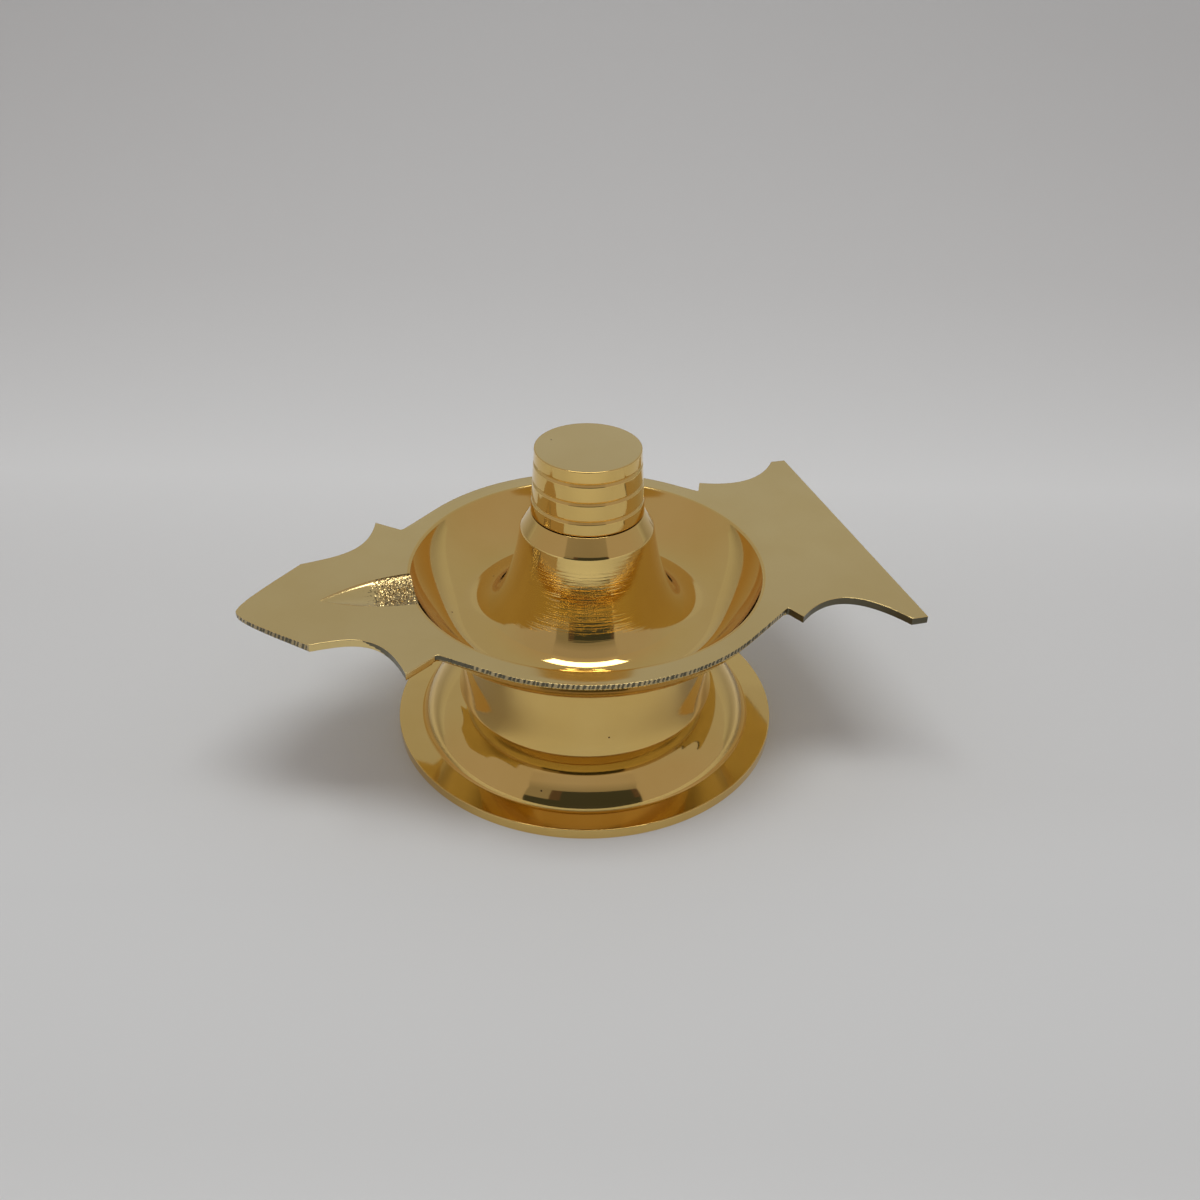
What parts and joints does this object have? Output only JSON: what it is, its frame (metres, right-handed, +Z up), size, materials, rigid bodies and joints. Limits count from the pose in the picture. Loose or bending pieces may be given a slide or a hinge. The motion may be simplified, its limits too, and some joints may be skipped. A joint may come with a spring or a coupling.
{
  "type": "oil lamp",
  "caption": "Low brass oil lamp: round oil pan with leaf-shaped wick spout, fish-tail handle and central cone with a grooved screw knob, on a turned hollow pedestal.",
  "frame": {"origin": "on the table, under the middle of the lamp's bounding box; the lathe axis of pedestal, bowl and knob is at x = 5.8147 mm, y = 0", "axes": "+Z up, +X along the centre line from the wick spout towards the fish-tail handle"},
  "size_m": [0.1486, 0.0926, 0.074],
  "materials": {
    "pedestal_brass": "polished turned cast brass",
    "pan_brass": "polished turned bowl and linished flat flange, cast brass",
    "knob_brass": "polished turned brass",
    "fastener_brass": "plain turned brass",
    "spring_steel": "plain spring steel"
  },
  "bodies": {
    "base": {"pedestal": "pedestal_brass", "tie_stud": "fastener_brass", "plain_washer": "fastener_brass", "spring_washer": "spring_steel", "hex_nut": "fastener_brass"},
    "pan": {"oil_pan": "pan_brass"},
    "knob_lift": {"knob_washer": "fastener_brass"},
    "knob": {"centre_knob": "knob_brass"}
  },
  "joints": [
    {"name": "pan_swivel", "type": "hinge", "parent": "base", "child": "pan", "pos_m": [0.00581, 0, 0.0285], "axis": [0, 0, 1], "continuous": true},
    {"name": "knob_rise", "type": "slide", "parent": "base", "child": "knob_lift", "axis": [0, 0, 1], "range_m": [0, 0.00636]},
    {"name": "knob_turn", "type": "hinge", "parent": "knob_lift", "child": "knob", "pos_m": [0.00581, 0, 0.0585], "axis": [0, 0, 1], "range_deg": [0, 1440]}
  ],
  "couplings": [
    {"joint": "knob_rise", "follows": "knob_turn", "m_per_rad": 0.00025266}
  ]
}
